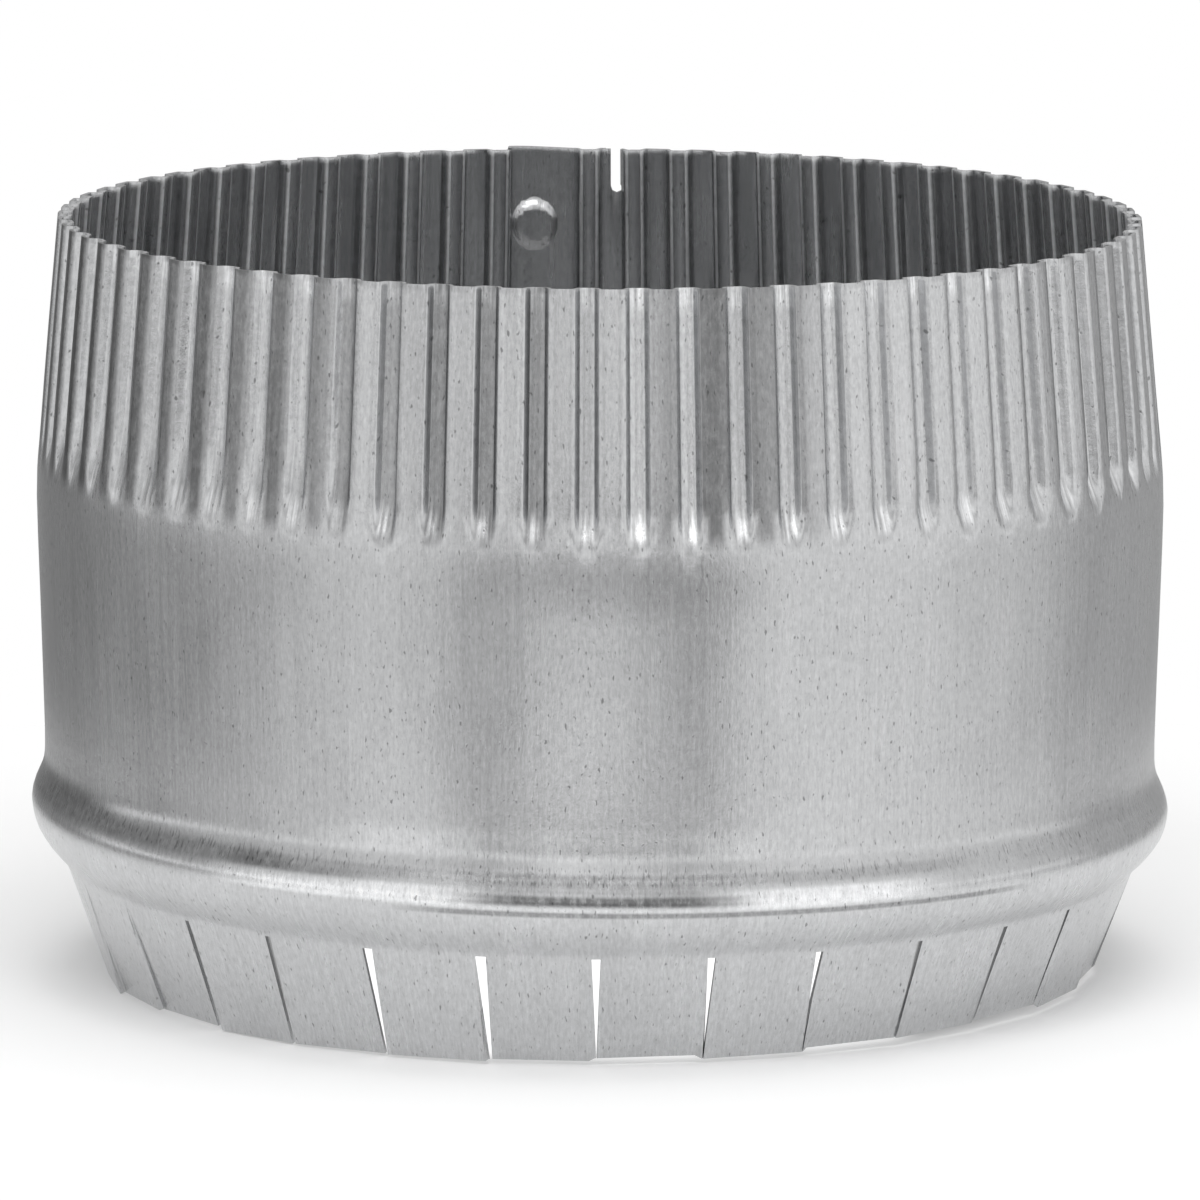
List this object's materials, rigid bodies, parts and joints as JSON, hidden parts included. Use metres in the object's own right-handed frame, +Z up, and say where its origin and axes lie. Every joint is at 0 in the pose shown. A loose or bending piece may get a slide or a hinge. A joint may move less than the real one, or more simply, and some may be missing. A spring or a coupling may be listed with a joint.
{
  "type": "duct starting collar",
  "caption": "Galvanised sheet-metal collar that starts a round branch duct: crimped upper end, plain band, rolled bead and slit tabs bent in below.",
  "frame": {"origin": "on the collar's axis, level with the tips of the tabs", "axes": "+Z up the axis towards the crimped rim, the lapped seam on the +Y side"},
  "size_m": [0.155, 0.155, 0.103],
  "materials": {
    "galvanised_steel": "rolled zinc coating with fine grain along the axis, satin, slightly cool grey"
  },
  "bodies": {
    "root": {"collar": "galvanised_steel"}
  },
  "joints": []
}
